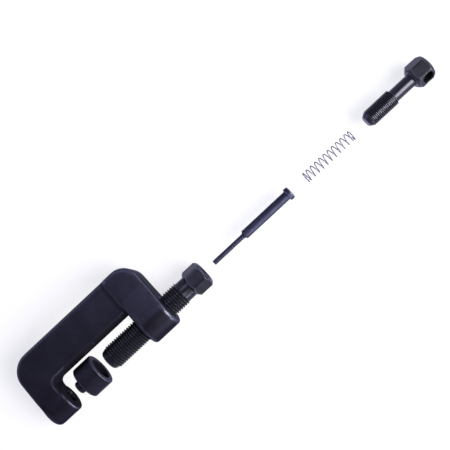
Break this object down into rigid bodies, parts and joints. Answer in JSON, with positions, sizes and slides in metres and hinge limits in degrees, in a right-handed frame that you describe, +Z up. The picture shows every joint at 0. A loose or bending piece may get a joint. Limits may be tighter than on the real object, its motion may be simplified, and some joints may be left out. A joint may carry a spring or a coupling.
{
  "type": "chain breaker tool",
  "caption": "Screw-type chain breaker laid out in pieces: C frame with hollow main bolt, anvil cup, extractor pin, return spring and cross-bored push bolt.",
  "frame": {"origin": "centre of the anvil seat on the lower arm of the C frame, where the anvil bore opens, on the screw axis", "axes": "+X along the screw axis from the anvil seat towards the hexagon heads; +Y from the screw axis towards the spine of the frame; +Z up, square to the flat side of the frame"},
  "size_m": [0.3664, 0.0583, 0.0286],
  "materials": {
    "frame_steel": "black oxide on forged steel, satin",
    "bolt_steel": "black oxide on turned steel, satin",
    "cup_steel": "black oxide on turned steel, satin",
    "pin_steel": "black oxide on ground tool steel",
    "spring_wire": "bare drawn spring wire",
    "push_bolt_steel": "black oxide on turned steel, satin"
  },
  "bodies": {
    "frame": {"c_frame": "frame_steel"},
    "main_screw": {"main_bolt": "bolt_steel"},
    "anvil": {"anvil_cup": "cup_steel"},
    "pin": {"extractor_pin": "pin_steel"},
    "spring": {"return_spring": "spring_wire"},
    "push_screw": {"push_bolt": "push_bolt_steel"}
  },
  "joints": [
    {"name": "bolt_feed", "type": "slide", "parent": "frame", "child": "main_screw", "axis": [-1, 0, 0], "range_m": [-0.033, 0.0085]},
    {"name": "anvil_seat", "type": "slide", "parent": "frame", "child": "anvil", "axis": [-1, 0, 0], "range_m": [0, 0.0129]},
    {"name": "pin_slide", "type": "slide", "parent": "main_screw", "child": "pin", "axis": [-1, 0, 0], "range_m": [0, 0.1267], "deforming": ["return_spring"]},
    {"name": "push_feed", "type": "slide", "parent": "pin", "child": "push_screw", "axis": [-1, 0, 0], "range_m": [0, 0.0721]},
    {"name": "spring_fit", "type": "slide", "parent": "pin", "child": "spring", "axis": [-1, 0, 0], "range_m": [0, 0.06277]}
  ],
  "couplings": [
    {"joint": "spring_fit", "follows": "push_feed", "ratio": 0.87032}
  ]
}
